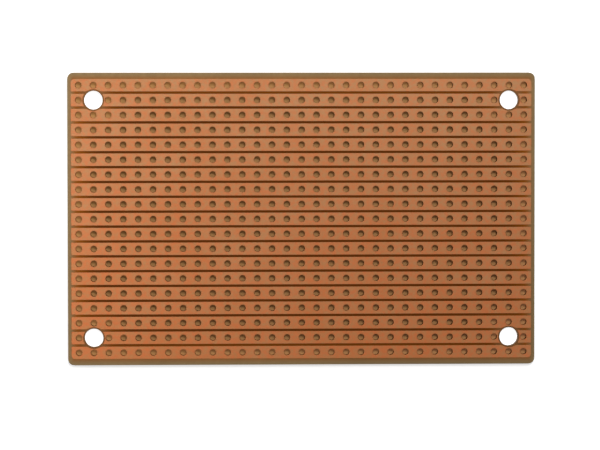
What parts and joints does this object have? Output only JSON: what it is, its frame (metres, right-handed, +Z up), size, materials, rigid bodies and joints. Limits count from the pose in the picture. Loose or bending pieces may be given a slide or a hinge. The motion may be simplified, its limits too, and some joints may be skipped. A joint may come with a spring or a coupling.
{
  "type": "prototype board",
  "caption": "Rectangular single-sided stripboard with rounded corners, parallel copper strips, a grid of small lead holes and a screw hole near each corner.",
  "frame": {"origin": "middle of the bare underside, where the board rests", "axes": "+X along the copper strips, +Y across them towards strip 1, +Z up out of the copper side"},
  "size_m": [0.08, 0.05, 0.0016],
  "materials": {
    "laminate": "phenolic paper laminate, satin",
    "copper": "etched copper foil under a thin clear flux lacquer, satin"
  },
  "bodies": {
    "root": {"laminate": "laminate", "strip_01": "copper", "strip_02_left": "copper", "strip_02_middle": "copper", "strip_02_right": "copper", "strip_03": "copper", "strip_04": "copper", "strip_05": "copper", "strip_06": "copper", "strip_07": "copper", "strip_08": "copper", "strip_09": "copper", "strip_10": "copper", "strip_11": "copper", "strip_12": "copper", "strip_13": "copper", "strip_14": "copper", "strip_15": "copper", "strip_16": "copper", "strip_17": "copper", "strip_18_left": "copper", "strip_18_middle": "copper", "strip_18_right": "copper", "strip_19": "copper"}
  },
  "joints": []
}
